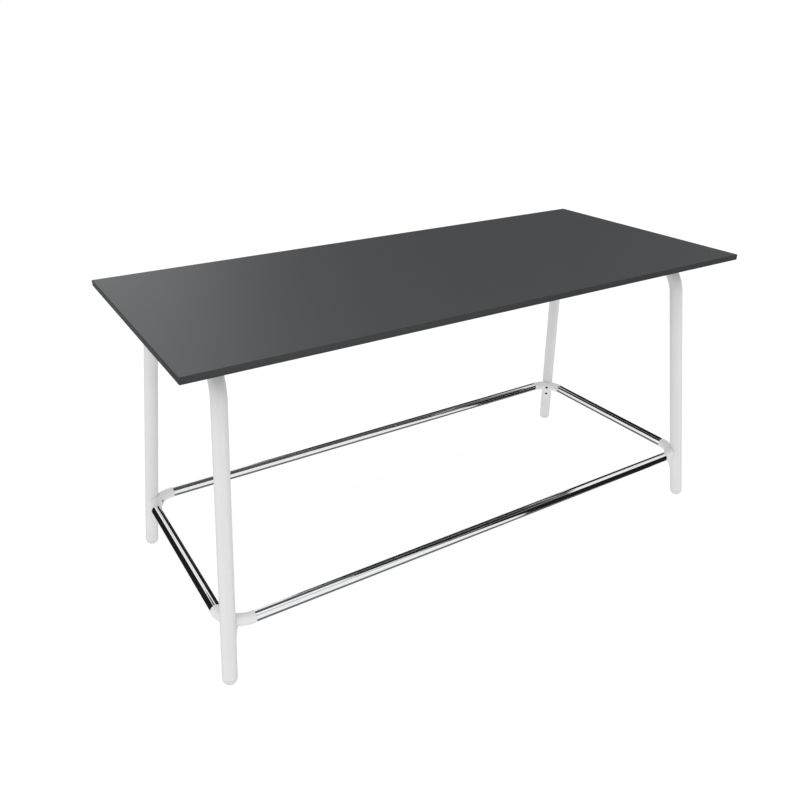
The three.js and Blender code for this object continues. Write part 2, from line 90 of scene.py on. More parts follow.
def leg_y(height):
    return FOOT_Y - (height - LEG_RADIUS) * SLOPE


BAR_X = leg_x(BAR_HEIGHT)
BAR_STRAIGHT = leg_y(BAR_HEIGHT) - BEND_RADIUS * math.tan(BEND_TURN / 2)
BEAM_Y = BAR_STRAIGHT - BEAM_FROM_BEND - BEAM_WIDTH / 2
PLATE_Y = BEAM_Y - PLATE_FROM_BEAM
RING_X = leg_x(RAIL_HEIGHT) + RAIL_OUTSET
RING_Y = leg_y(RAIL_HEIGHT) + RAIL_OUTSET
ENDS = {"left": -1, "right": 1}
SIDES = {"front": -1, "rear": 1}
CORNERS = [(end, side) for end in ENDS for side in SIDES]
print(f"bar at x {BAR_X:.4f}, straight to y {BAR_STRAIGHT:.4f}; beam at y {BEAM_Y:.4f}")
print(f"footrest ring out to x {RING_X:.4f} and y {RING_Y:.4f}")

# %% [markdown]
# ## The camera
# The camera stands at the front left and looks down on the table from about standing eye height. Its place,
# turn and lens were found by matching the corners of the top and the ends of the legs, so the perspective is
# the real one.

# %% Camera
CAMERA_PLACE = Vector((-1.2766, -1.8679, 1.5592))
CAMERA_AZIMUTH = math.radians(-31.938)
CAMERA_ELEVATION = math.radians(25.972)
SENSOR_WIDTH = 36
LENS = 34.632
bpy.ops.object.select_all(action="DESELECT")
bpy.ops.object.camera_add(
    location=CAMERA_PLACE, rotation=(math.pi / 2 - CAMERA_ELEVATION, 0, CAMERA_AZIMUTH)
)
camera = bpy.context.object
camera.data.sensor_width = SENSOR_WIDTH
camera.data.lens = LENS
bpy.context.scene.camera = camera
bpy.context.scene.view_settings.view_transform = "Standard"
print("camera at", [round(v, 3) for v in camera.location])

# %% [markdown]
# ## Hands for modelling
# Each piece is made as by hand: a primitive is added, its vertices, edges or faces are picked by their place,
# and operators shape them. The helpers clear the selection first, so that an operator never touches a piece
# made before.

# %% Primitives
ALONG_X = (0, math.pi / 2, 0)
ALONG_Y = (math.pi / 2, 0, 0)


def fresh():
    """Nothing is selected, so that the next operator touches only the new piece."""
    bpy.ops.object.select_all(action="DESELECT")


def done():
    """Leaves edit mode and puts the place of the piece into its mesh."""
    if bpy.context.mode != "OBJECT":
        bpy.ops.object.mode_set(mode="OBJECT")
    bpy.ops.object.transform_apply(location=True, rotation=True, scale=True)
    return bpy.context.object


def block(size, place, turn=0):
    """A box, turned about the upright axis."""
    fresh()
    bpy.ops.mesh.primitive_cube_add(size=1, location=place, rotation=(0, 0, turn), scale=size)
    return done()


def cylinder(sides, radius, length, place=(0, 0, 0), rotation=(0, 0, 0)):
    fresh()
    bpy.ops.mesh.primitive_cylinder_add(
        vertices=sides, radius=radius, depth=length, location=place, rotation=rotation
    )
    return done()


def ring(sides, radius, place=(0, 0, 0), rotation=(0, 0, 0), fill="NOTHING"):
    """A circle that stays in edit mode, ready to be drawn out."""
    fresh()
    bpy.ops.mesh.primitive_circle_add(
        vertices=sides,
        radius=radius,
        fill_type=fill,
        location=place,
        rotation=rotation,
        enter_editmode=True,
    )


# %% [markdown]
# In edit mode a hand picks and pulls. A test says which vertices, edges or faces are meant, so a pick never
# depends on the order in which they were made.

# %% Picking and pulling
TINY = 1e-6


def edit():
    bpy.ops.object.mode_set(mode="EDIT")
    bpy.ops.mesh.select_mode(type="VERT")


def pick_items(kind, test):
    """Selects the vertices, edges or faces that pass the test."""
    bpy.ops.mesh.select_mode(type=kind)
    bpy.ops.mesh.select_all(action="DESELECT")
    mesh = bmesh.from_edit_mesh(bpy.context.edit_object.data)
    for item in {"VERT": mesh.verts, "EDGE": mesh.edges, "FACE": mesh.faces}[kind]:
        item.select_set(test(item))
    bmesh.update_edit_mesh(bpy.context.edit_object.data)


def pick(kind, test):
    """Selects the edges or faces whose corner points all pass the test."""
    pick_items(kind, lambda item: all(test(v.co) for v in item.verts))


def span(edge, axis):
    """How far an edge reaches along x, y or z."""
    first, second = edge.verts
    return abs(getattr(first.co, axis) - getattr(second.co, axis))


def draw_out(step):
    bpy.ops.mesh.extrude_region_move(TRANSFORM_OT_translate={"value": step})


def resize(shares, middle):
    bpy.ops.transform.resize(value=shares, center_override=middle)


def ease(width, steps):
    """Rounds the picked edges."""
    bpy.ops.mesh.bevel(offset=width, segments=steps, affect="EDGES")


def cut_off(place, outward):
    """Cuts through the piece at a place, takes away what lies outward and closes the cut."""
    bpy.ops.mesh.select_all(action="SELECT")
    bpy.ops.mesh.bisect(plane_co=place, plane_no=outward, use_fill=True, clear_outer=True)


# %% [markdown]
# Whole pieces are cut, joined and softened by modifiers that are applied at once, so that what follows works
# on the real mesh. A finished piece is copied to its places, named, put under its body, and the solid that it
# stands for is hidden.

# %% Cutting, joining and smoothing
def use(piece):
    fresh()
    piece.select_set(True)
    bpy.context.view_layer.objects.active = piece


def throw_away(*pieces):
    for piece in pieces:
        bpy.data.objects.remove(piece)


def apply_modifier(piece, kind, **settings):
    use(piece)
    bpy.ops.object.modifier_add(type=kind)
    modifier = piece.modifiers[-1]
    for name, value in settings.items():
        setattr(modifier, name, value)
    bpy.ops.object.modifier_apply(modifier=modifier.name)


def take_away(piece, *cutters):
    """Cuts the cutters out of the piece and throws them away."""
    for cutter in cutters:
        apply_modifier(piece, "BOOLEAN", operation="DIFFERENCE", solver="EXACT", object=cutter)
        throw_away(cutter)


def weld_on(piece, *others):
    """Makes the other objects part of this one."""
    use(piece)
    for other in others:
        other.select_set(True)
    bpy.ops.object.join()


def close_up(piece):
    """Merges doubled points and turns all faces outwards."""
    use(piece)
    edit()
    bpy.ops.mesh.select_all(action="SELECT")
    bpy.ops.mesh.remove_doubles(threshold=TINY)
    bpy.ops.mesh.normals_make_consistent(inside=False)
    bpy.ops.object.mode_set(mode="OBJECT")


def smooth(piece, degrees=35):
    use(piece)
    bpy.ops.object.shade_smooth_by_angle(angle=math.radians(degrees))


# %% Copying pieces to their places
def turn_about(axis, angle):
    return Matrix.Rotation(angle, 4, axis)


def shift(x, y, z):
    return Matrix.Translation((x, y, z))


def copy_to(piece, place):
    """A copy with a mesh of its own, moved by a matrix that then goes into the mesh."""
    use(piece)
    bpy.ops.object.duplicate(linked=False)
    copy = bpy.context.object
    copy.matrix_world = place @ copy.matrix_world
    return done()


def settle(piece, name, body, finish, node):
    """Names a finished piece, gives it its finish, puts it under its body and hides the solid that it stands
    for.
    """
    piece.name = name
    piece.data.name = name
    piece.data.materials.clear()
    piece.data.materials.append(finish.material)
    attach(piece, body)
    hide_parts(node)


# %% [markdown]
# ## A way to write finishes
# A finish is a small program of nodes. One class wraps a socket so that sums on it read as plain Python, and
# one method adds any other node. Colours are written as they look on a screen and turned to linear light
# once.

# %% Nodes as sums
class Link:
    """A node's output that can be used in sums with numbers and other links."""

    def __init__(self, nodes, socket):
        self.nodes = nodes
        self.socket = socket

    def __add__(self, other):
        return self.nodes.maths("ADD", self, other)

    def __radd__(self, other):
        return self.nodes.maths("ADD", other, self)

    def __mul__(self, other):
        return self.nodes.maths("MULTIPLY", self, other)

    def __rmul__(self, other):
        return self.nodes.maths("MULTIPLY", other, self)


class Nodes:
    """A tree of shader nodes."""

    def __init__(self, tree):
        self.tree = tree

    def put(self, socket, value):
        if isinstance(value, Link):
            self.tree.links.new(value.socket, socket)
        else:
            socket.default_value = value

    def node(self, kind, sockets, settings=None, output=0):
        node = self.tree.nodes.new(kind)
        for name, value in (settings or {}).items():
            setattr(node, name, value)
        for name, value in sockets.items():
            self.put(node.inputs[name], value)
        return Link(self, node.outputs[output])

    def maths(self, operation, first, second):
        return self.node("ShaderNodeMath", {0: first, 1: second}, {"operation": operation})


# %% Finishes and colours
class Finish(Nodes):
    """A material with its Principled shader, and the nodes that feed it."""

    def __init__(self, name):
        self.material = bpy.data.materials.new(name)
        self.material.use_nodes = True
        super().__init__(self.material.node_tree)
        self.shader = self.tree.nodes["Principled BSDF"]

    def mix(self, share, first, second):
        sockets = {0: share, 6: first, 7: second}
        return self.node("ShaderNodeMix", sockets, {"data_type": "RGBA"}, output=2)

    def place(self, stretch=(1, 1, 1)):
        """Object coordinates, stretched along the axes where a pattern has a direction."""
        where = self.node("ShaderNodeTexCoord", {}, output="Object")
        return self.node("ShaderNodeMapping", {"Vector": where, "Scale": stretch})

    def noise(self, place, scale, detail=2.0, roughness=0.5):
        sockets = {"Vector": place, "Scale": scale, "Detail": detail, "Roughness": roughness}
        return self.node("ShaderNodeTexNoise", sockets, output="Fac")

    def bump(self, height, distance, strength):
        sockets = {"Height": height, "Distance": distance, "Strength": strength}
        return self.node("ShaderNodeBump", sockets)

    def shade(self, **sockets):
        for name, value in sockets.items():
            label = name.replace("_", " ").title().replace("Ior", "IOR")
            self.put(self.shader.inputs[label], value)


def screen_colour(red, green, blue):
    """A colour as a screen shows it, 0 to 255, in linear light."""
    def linear(value):
        value /= 255
        return value / 12.92 if value <= 0.04045 else ((value + 0.055) / 1.055) ** 2.4
    return (linear(red), linear(green), linear(blue), 1)


def two_tones(shade, spread):
    """A darker and a lighter neighbour of a screen colour."""
    darker = [value - spread for value in shade]
    lighter = [value + spread for value in shade]
    return screen_colour(*darker), screen_colour(*lighter)


# %% [markdown]
# ## The laminate
# The top and its edges are anthracite: paper soaked in resin and pressed with a fine pearl texture, so light
# spreads softly on it. Two sizes of noise give the pearl and a faint cloudiness, and the roughness follows
# the pearl. This resin turns back more light than most plastics, which is why the gloss is set above the
# usual half. The edge bands and the backing sheet are the same anthracite, but their colours are painted
# darker: painted shade for the edges, which face sideways, and for the underside, which lies in shade.

# %% Anthracite laminate for the faces and the edge bands
RESIN_GLOSS = 0.8
PEARL_SCALE = 1400
PEARL_DEPTH = 0.00006
PEARL_SHARE = 0.6
PEARL_ROUGHNESS = 0.10
LAMINATE_CLOUD_SCALE = 9
LAMINATE_SPREAD = 5


def laminate_finish(name, shade, roughness):
    finish = Finish(name)
    place = finish.place()
    pearl = finish.noise(place, PEARL_SCALE, detail=3, roughness=0.6)
    cloud = finish.noise(place, LAMINATE_CLOUD_SCALE)
    tone = pearl * PEARL_SHARE + cloud * (1 - PEARL_SHARE)
    finish.shade(
        base_color=finish.mix(tone, *two_tones(shade, LAMINATE_SPREAD)),
        roughness=pearl * PEARL_ROUGHNESS + (roughness - PEARL_ROUGHNESS / 2),
        normal=finish.bump(pearl, PEARL_DEPTH, strength=0.5),
        specular_ior_level=RESIN_GLOSS,
    )
    return finish


laminate = laminate_finish("anthracite_laminate", (76, 78, 80), roughness=0.48)
# Painted shade: the face's anthracite made darker, because the edges face sideways and get less light.
edge_laminate_painted_shade = laminate_finish("anthracite_edge_band_painted_shade", (44, 46, 47), roughness=0.48)
# Painted shade: the face's anthracite made darker for the underside, which lies in shade and shows in the
# chrome.
backing_laminate_painted_shade = laminate_finish("anthracite_backing_painted_shade", (43, 44, 45), roughness=0.50)
print("finishes:", laminate.material.name, edge_laminate_painted_shade.material.name, backing_laminate_painted_shade.material.name)

# %% [markdown]
# ## The white finishes
# The tubes are powder coated: melted powder flows out to a smooth film with a faint orange peel. The brackets
# and feet are moulded in whites that match it, with a finer, drier grain. The brackets are painted a shade
# lighter than the tubes, painted light for their tops in the shade under the tabletop, and the feet a shade
# darker, painted shade for their domes, which face down.

# %% White powder coat and white moulded plastic
FILM_GLOSS = 0.25
FILM_SCALE = 14
FILM_ROUGHNESS = 0.08
FILM_SPREAD = 3


def plain_finish(name, shade, roughness, grain_scale, grain_depth):
    """One colour with a slow change in its film and a fine grain that only the light shows."""
    finish = Finish(name)
    place = finish.place()
    grain = finish.noise(place, grain_scale)
    film = finish.noise(place, FILM_SCALE)
    finish.shade(
        base_color=finish.mix(film, *two_tones(shade, FILM_SPREAD)),
        roughness=film * FILM_ROUGHNESS + (roughness - FILM_ROUGHNESS / 2),
        normal=finish.bump(grain, grain_depth, strength=0.4),
        specular_ior_level=FILM_GLOSS,
    )
    return finish


powder_coat = plain_finish(
    "white_powder_coat", (232, 232, 232), roughness=0.40, grain_scale=700, grain_depth=0.00008
)
# Painted light: a shade lighter than the powder coat, to lift the brackets out of the shade under the
# tabletop.
bracket_plastic_painted_light = plain_finish(
    "white_bracket_plastic_painted_light", (236, 236, 236), roughness=0.48, grain_scale=2600, grain_depth=0.00003
)
# Painted shade: a shade darker than the powder coat, for the domes that face down.
foot_plastic_painted_shade = plain_finish(
    "white_foot_plastic_painted_shade", (229, 229, 229), roughness=0.48, grain_scale=2600, grain_depth=0.00003
)
print("finishes:", powder_coat.material.name, bracket_plastic_painted_light.material.name, foot_plastic_painted_shade.material.name)

# %% [markdown]
# ## The metals
# Chrome is a mirror: almost no roughness, and only a breath of polishing haze that varies along the tube.
# Zinc plate on the screws is duller and cloudy, and the bracket screws are blackened steel.

# %% Chrome, zinc plate and black oxide
METAL_SPREAD = 6


def metal_finish(name, shade, roughness, haze, scale):
    finish = Finish(name)
    cloud = finish.noise(finish.place(), scale, detail=3, roughness=0.55)
    finish.shade(
        base_color=finish.mix(cloud, *two_tones(shade, METAL_SPREAD)),
        roughness=cloud * haze + (roughness - haze / 2),
        metallic=1.0,
    )
    return finish


chrome = metal_finish("mirror_chrome", (236, 237, 239), roughness=0.04, haze=0.03, scale=30)
zinc = metal_finish("zinc_plate", (176, 180, 184), roughness=0.34, haze=0.16, scale=220)
black_oxide = metal_finish("black_oxide_steel", (44, 44, 46), roughness=0.42, haze=0.14, scale=400)
print("finishes:", chrome.material.name, zinc.material.name, black_oxide.material.name)

# %% [markdown]
# ## Hidden materials
# The core of the top is chipboard and the inserts in the legs are grey plastic. They hardly ever show, but a
# foot that is screwed out shows its insert, so each still has a finish of its own.

# %% Chipboard and grey plastic
CHIP_SCALE = 260
CHIP_STRETCH = (1, 1, 3)
CHIP_DEPTH = 0.0002
chipboard = Finish("chipboard")
chip_cells = chipboard.node(
    "ShaderNodeTexVoronoi", {"Vector": chipboard.place(CHIP_STRETCH), "Scale": CHIP_SCALE}, output="Color"
)
chip_tone = chipboard.node("ShaderNodeRGBToBW", {"Color": chip_cells})
chipboard.shade(
    base_color=chipboard.mix(chip_tone, screen_colour(150, 118, 76), screen_colour(204, 176, 130)),
    roughness=chip_tone * 0.1 + 0.82,
    normal=chipboard.bump(chip_tone, CHIP_DEPTH, strength=0.5),
)
grey_plastic = plain_finish(
    "grey_moulded_plastic", (96, 97, 98), roughness=0.55, grain_scale=1800, grain_depth=0.00004
)
print("finishes:", chipboard.material.name, grey_plastic.material.name)

# %% [markdown]
# ## The tabletop
# The face sheet, the core and the backing sheet are flat boards whose solids are right as they are, so they
# only get their finishes. The edge bands are worth making anew: a thin strip whose two outer edges are eased
# round with a trimming cutter, and whose ends meet in a mitre.

# %% Boards
for node, finish in {
    "tabletop_laminate": laminate,
    "tabletop_core": chipboard,
    "tabletop_backing_sheet": backing_laminate_painted_shade,
}.items():
    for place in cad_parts[node].material_slots:
        place.material = finish.material

# %% Edge bands
BAND_THICKNESS = 0.002
BAND_EDGE_RADIUS = 0.0016


def edge_band(length):
    """A strip whose outer face lies at y = 0, rounded along its outer edges and mitred at both ends."""
    middle = (0, BAND_THICKNESS / 2, FRAME_HEIGHT + TOP_THICKNESS / 2)
    band = block((length, BAND_THICKNESS, TOP_THICKNESS), middle)

    def is_outer(edge):
        return span(edge, "x") > length / 2 and all(v.co.y < TINY for v in edge.verts)

    edit()
    pick_items("EDGE", is_outer)
    ease(BAND_EDGE_RADIUS, steps=6)
    for end in ENDS.values():
        cut_off((end * length / 2, 0, 0), (end, 1, 0))
    done()
    close_up(band)
    smooth(band)
    return band


long_band = edge_band(TOP_LENGTH)
short_band = edge_band(TOP_DEPTH)
for name, band, distance, turns in [
    ("front", long_band, TOP_DEPTH / 2, 0),
    ("right", short_band, TOP_LENGTH / 2, 1),
    ("rear", long_band, TOP_DEPTH / 2, 2),
    ("left", short_band, TOP_LENGTH / 2, 3),
]:
    piece = copy_to(band, turn_about("Z", turns * math.pi / 2) @ shift(0, -distance, 0))
    settle(piece, f"eased_band_{name}", "table", edge_laminate_painted_shade, f"edge_band_{name}")
throw_away(long_band, short_band)
print("edge bands: 4")

# %% [markdown]
# ## The end frames
# An end frame is one tube, bent twice on a former. A ring drawn out, spun round the bend and drawn out again
# makes half of it, and a mirror makes the rest, so both bends are the same. The frame is made upright and
# then leaned outwards. Plates for the tabletop's screws are welded on top of the bar.

# %% Tube of an end frame
TUBE_SIDES = 72
BEND_STEPS = 28
LEG_WALL = 0.002
LEG_LENGTH = (BAR_HEIGHT - LEG_RADIUS) * math.sqrt(1 + 2 * SLOPE * SLOPE)
EASED = 0.0004
print(f"leg length {LEG_LENGTH:.4f} from the corner of bar and leg")


def frame_tube():
    ring(TUBE_SIDES, LEG_RADIUS, rotation=ALONG_Y)
    draw_out((0, BAR_STRAIGHT, 0))
    bpy.ops.mesh.spin(
        steps=BEND_STEPS, angle=BEND_TURN, center=(0, BAR_STRAIGHT, -BEND_RADIUS), axis=(1, 0, 0)
    )
    straight = LEG_LENGTH - BEND_RADIUS * math.tan(BEND_TURN / 2) - FIT_GAP
    down = Vector((0, math.sin(LEAN), -math.cos(LEAN)))
    draw_out(down * (straight - EASED))
    draw_out(down * EASED)
    leg_end = Vector((0, leg_y(BAR_HEIGHT), 0)) + down * (LEG_LENGTH - FIT_GAP)
    share = (LEG_RADIUS - EASED) / LEG_RADIUS
    resize((share, share, share), leg_end)
    tube = done()
    close_up(tube)
    apply_modifier(tube, "MIRROR", use_axis=(False, True, False), merge_threshold=TINY)
    apply_modifier(tube, "SOLIDIFY", thickness=LEG_WALL, offset=-1)
    smooth(tube)
    return tube


# %% Fixing plates
PLATE_WIDTH = 0.030
PLATE_CORNER = 0.004
PLATE_EDGE = 0.0003


def plate(length, width, x, y):
    """A flat bar with round corners, just under the tabletop, its length along X."""
    bar = block((length, width, PLATE_THICKNESS), (x, y, FRAME_HEIGHT - PLATE_THICKNESS / 2))
    edit()
    pick_items("EDGE", lambda edge: span(edge, "z") > PLATE_THICKNESS / 2)
    ease(PLATE_CORNER, steps=5)
    done()
    apply_modifier(
        bar, "BEVEL", width=PLATE_EDGE, segments=2, limit_method="ANGLE", angle_limit=math.radians(50)
    )
    smooth(bar)
    return bar


# %% Weld beads
BEAD_RADIUS = 0.0013
BEAD_SWELL = 1.3
BEAD_SIDES = 10
BEAD_STEPS = 14


def weld_bead(length, x, y, z):
    """A rippled bead along Y: a disc drawn out step by step, wide and narrow in turn."""
    place = y - length / 2
    ring(BEAD_SIDES, BEAD_RADIUS, (x, place, z), ALONG_Y, fill="NGON")
    for step in range(BEAD_STEPS):
        place += length / BEAD_STEPS
        draw_out((0, length / BEAD_STEPS, 0))
        share = (BEAD_SWELL, 1 / BEAD_SWELL)[step % 2]
        resize((share, 1, share), (x, place, z))
    bead = done()
    close_up(bead)
    smooth(bead, degrees=60)
    return bead


# %% Put the end frames together
SCREW_BESIDE_BAR = 0.028
PLATE_MARGIN = 0.010
PLATE_LENGTH = 2 * (SCREW_BESIDE_BAR + PLATE_MARGIN)
BEAD_OFFSET = 0.0068
BEAD_STOP = 0.001
upright_tube = frame_tube()
for name, end in ENDS.items():
    bar_x = end * BAR_X
    piece = copy_to(upright_tube, shift(bar_x, 0, BAR_HEIGHT) @ turn_about("Y", -end * SPLAY))
    for side in SIDES.values():
        extras = [plate(PLATE_LENGTH, PLATE_WIDTH, bar_x, side * PLATE_Y)]
        for hand in (-1, 1):
            bead_x = bar_x + hand * BEAD_OFFSET
            bead_length = PLATE_WIDTH - 2 * BEAD_STOP
            extras.append(weld_bead(bead_length, bead_x, side * PLATE_Y, PLATE_BOTTOM - BEAD_RADIUS))
        weld_on(piece, *extras)
    settle(piece, f"bent_frame_{name}", "table", powder_coat, f"end_frame_{name}")
    print("end frame", name, "faces:", len(piece.data.polygons))
throw_away(upright_tube)

# %% [markdown]
# ## The beams and their bolts
# Two rectangular tubes tie the frames together out of sight. Rolled tube has round corners, so the long edges
# of a box are bevelled, and each end is cut hollow with the shape of the bar that it butts against.

# %% Beams
BEAM_CORNER = 0.003
SCREW_BESIDE_BEAM = 0.018
SADDLE_RADIUS = LEG_RADIUS + FIT_GAP
SADDLE_SIDES = 96


def beam(side):
    """A beam between the bars, with its fixing plate."""
    middle = (0, side * BEAM_Y, PLATE_BOTTOM - BEAM_HEIGHT / 2)
    body = block((2 * BAR_X, BEAM_WIDTH, BEAM_HEIGHT), middle)
    edit()
    pick_items("EDGE", lambda edge: span(edge, "x") > BAR_X)
    ease(BEAM_CORNER, steps=5)
    done()
    for end in ENDS.values():
        bar_place = (end * BAR_X, 0, BAR_HEIGHT)
        take_away(body, cylinder(SADDLE_SIDES, SADDLE_RADIUS, TOP_DEPTH, bar_place, ALONG_Y))
    smooth(body)
    weld_on(body, plate(PLATE_WIDTH, 2 * (SCREW_BESIDE_BEAM + PLATE_MARGIN), 0, side * BEAM_Y))
    return body


for name, side in SIDES.items():
    piece = beam(side)
    settle(piece, f"coped_beam_{name}", "table", powder_coat, f"beam_{name}")
    print("beam", name, "faces:", len(piece.data.polygons))

# %% [markdown]
# ## Screws
# All screws follow one plan: a round head with an eased rim, a shank drawn out of its underside, and a recess
# for the driver cut into the head. They are made once each, pointing up, and copied to their places.

# %% A screw
SCREW_SIDES = 48
POINT_SHARE = 0.4


def screw(head_radius, head_height, shank_radius, length, tip, rim, cutters):
    """The head hangs below z = 0 and the shank stands on it; the cutters make the recess."""
    body = cylinder(SCREW_SIDES, head_radius, head_height, (0, 0, -head_height / 2))
    edit()
    pick("FACE", lambda p: p.z > -TINY)
    bpy.ops.mesh.inset(thickness=head_radius - shank_radius)
    draw_out((0, 0, length - tip))
    draw_out((0, 0, tip))
    resize((POINT_SHARE, POINT_SHARE, 1), (0, 0, length))
    pick("EDGE", lambda p: p.z < TINY - head_height)
    ease(rim, steps=5)
    done()
    take_away(body, *cutters)
    smooth(body)
    return body


# %% Recesses for the driver
RECESS_TAPER = 0.55


def hexagon_recess(radius, depth, head_height):
    return cylinder(6, radius, 2 * depth, (0, 0, -head_height))


def cross_recess(width, length, depth, head_height):
    """Two crossed bars that get narrower towards the bottom of the recess."""
    arms = []
    for turn in (0, math.pi / 2):
        block((length, width, 2 * depth), (0, 0, -head_height), turn)
        edit()
        pick("FACE", lambda p: p.z > depth / 2 - head_height)
        resize((RECESS_TAPER, RECESS_TAPER, 1), (0, 0, depth - head_height))
        arms.append(done())
    return arms


# %% Screws that hold the top
TOP_SCREW_HEAD = 0.003
TURN_BETWEEN_SCREWS = 0.7
top_screw = screw(
    head_radius=0.0045,
    head_height=TOP_SCREW_HEAD,
    shank_radius=0.0025,
    length=0.016,
    tip=0.003,
    rim=0.0014,
    cutters=cross_recess(width=0.0011, length=0.0052, depth=0.0016, head_height=TOP_SCREW_HEAD),
)
screw_places = {}
for end, side in CORNERS:
    for where, sign in {"outer": 1, "inner": -1}.items():
        x = ENDS[end] * (BAR_X + sign * SCREW_BESIDE_BAR)
        screw_places[f"{end}_{side}_{where}"] = (x, SIDES[side] * PLATE_Y)
for side in SIDES:
    for where, sign in {"outer": 1, "inner": -1}.items():
        y = SIDES[side] * (BEAM_Y + sign * SCREW_BESIDE_BEAM)
        screw_places[f"beam_{side}_{where}"] = (0, y)
for index, (name, (x, y)) in enumerate(screw_places.items()):
    turned = turn_about("Z", TURN_BETWEEN_SCREWS * index)
    piece = copy_to(top_screw, shift(x, y, PLATE_BOTTOM) @ turned)
    settle(piece, f"pan_screw_{name}", "table", zinc, f"top_screw_{name}")
throw_away(top_screw)
print("top screws:", len(screw_places))

# %% Bolts and saddle washers at the ends of the beams
WASHER_RADIUS = 0.009
WASHER_THICKNESS = 0.003
WASHER_EDGE = 0.0006
WASHER_SIDES = 64
SADDLE_CUT = 0.1
BOLT_SEAT = SADDLE_RADIUS + WASHER_THICKNESS
BOLT_HEAD = 0.008
bolt = screw(
    head_radius=0.0065,
    head_height=BOLT_HEAD,
    shank_radius=0.004,
    length=0.0723,
    tip=0.001,
    rim=0.0012,
    cutters=[hexagon_recess(radius=0.0034, depth=0.004, head_height=BOLT_HEAD)],
)
washer = cylinder(WASHER_SIDES, WASHER_RADIUS, BOLT_SEAT, (0, 0, BOLT_SEAT / 2))
edit()
pick("EDGE", lambda p: p.z > BOLT_SEAT - TINY)
ease(WASHER_EDGE, steps=3)
done()
take_away(washer, cylinder(SADDLE_SIDES, SADDLE_RADIUS, SADDLE_CUT, rotation=ALONG_Y))
smooth(washer)
for end, side in CORNERS:
    on_bar = shift(ENDS[end] * BAR_X, SIDES[side] * BEAM_Y, BAR_HEIGHT)
    outwards = on_bar @ turn_about("Y", ENDS[end] * math.pi / 2)
    piece = copy_to(washer, outwards)
    settle(piece, f"saddle_{end}_{side}", "table", zinc, f"saddle_washer_{end}_{side}")
    piece = copy_to(bolt, outwards @ shift(0, 0, BOLT_SEAT) @ turn_about("X", math.pi))
    settle(piece, f"socket_bolt_{end}_{side}", "table", zinc, f"beam_bolt_{end}_{side}")
throw_away(bolt, washer)
print("bolts and saddle washers:", len(CORNERS))

# %% [markdown]
# ## The footrest
# The four footrest tubes are straight chrome tube, cut square with the sharp edge taken off. A mirror shows
# every facet, so they have many sides. A ring is drawn out in steps: the eased edge, a short collar, the long
# run, and the same again. The collar keeps the long faces' shading straight, because a smooth edge next to a
# chamfer bends it.

# %% Chrome tubes
RAIL_WALL = 0.0015
CHROME_SIDES = 128
COLLAR = 0.002
ELBOW_REACH = 0.077
TUBE_TRIM = 2 * (ELBOW_REACH + FIT_GAP)


def footrest_tube(length):
    slim = (RAIL_RADIUS - EASED) / RAIL_RADIUS
    run = length - 2 * (EASED + COLLAR)
    place = -length / 2
    ring(CHROME_SIDES, RAIL_RADIUS * slim, (place, 0, 0), ALONG_X)
    for step, share in [(EASED, 1 / slim), (COLLAR, 1), (run, 1), (COLLAR, 1), (EASED, slim)]:
        place += step
        draw_out((step, 0, 0))
        resize((1, share, share), (place, 0, 0))
    tube = done()
    close_up(tube)
    apply_modifier(tube, "SOLIDIFY", thickness=RAIL_WALL, offset=-1)
    smooth(tube)
    return tube


long_tube = footrest_tube(2 * RING_X - TUBE_TRIM)
short_tube = footrest_tube(2 * RING_Y - TUBE_TRIM)
for name, side in SIDES.items():
    piece = copy_to(long_tube, shift(0, side * RING_Y, RAIL_HEIGHT))
    settle(piece, f"chrome_tube_{name}", "table", chrome, f"footrest_tube_{name}")
for name, end in ENDS.items():
    piece = copy_to(short_tube, shift(end * RING_X, 0, RAIL_HEIGHT) @ turn_about("Z", math.pi / 2))
    settle(piece, f"chrome_tube_{name}", "table", chrome, f"footrest_tube_{name}")
throw_away(long_tube, short_tube)
print("footrest tubes: 4")

# %% [markdown]
# ## The corner brackets
# A bracket is moulded in one piece: an elbow a little thicker than the footrest that passes on the inner side
# of the leg, spigots that go into the tubes, and a tongue that tapers down the leg and takes two screws. The
# tongue flares at its top, and the flare runs out into the elbow. The elbow is spun from a ring and mirrored,
# the tongue is a plate with rounded edges, and both are joined and remeshed so that smoothing can pull soft
# fillets where they meet, as a mould has. The elbow starts out too long and is sawn square after that, and
# the saddle for the leg and the screw holes are cut last, so that all of them stay crisp. The bracket is made
# with the leg's middle at the origin and X pointing outwards along the diagonal of the corner.

# %% Elbow
ELBOW_RADIUS = 0.075
ELBOW_PROUD = 0.0013
ELBOW_HALF = RAIL_RADIUS + ELBOW_PROUD
ELBOW_SIDES = 64
ELBOW_STEPS = 20
SPARE_LENGTH = 0.006
CORNER_X = RAIL_OUTSET * math.sqrt(2)
ELBOW_CENTRE = CORNER_X - ELBOW_RADIUS * math.sqrt(2)
DIAGONAL = Vector((-math.sqrt(0.5), math.sqrt(0.5), 0))


def elbow():
    ring(ELBOW_SIDES, ELBOW_HALF, (ELBOW_CENTRE + ELBOW_RADIUS, 0, 0), ALONG_Y)
    bpy.ops.mesh.spin(
        steps=ELBOW_STEPS, angle=-math.pi / 4, center=(ELBOW_CENTRE, 0, 0), axis=(0, 0, 1)
    )
    draw_out(DIAGONAL * (ELBOW_REACH - ELBOW_RADIUS + SPARE_LENGTH))
    bpy.ops.mesh.edge_face_add()
    body = done()
    close_up(body)
    apply_modifier(body, "MIRROR", use_axis=(False, True, False), merge_threshold=TINY)
    close_up(body)
    return body


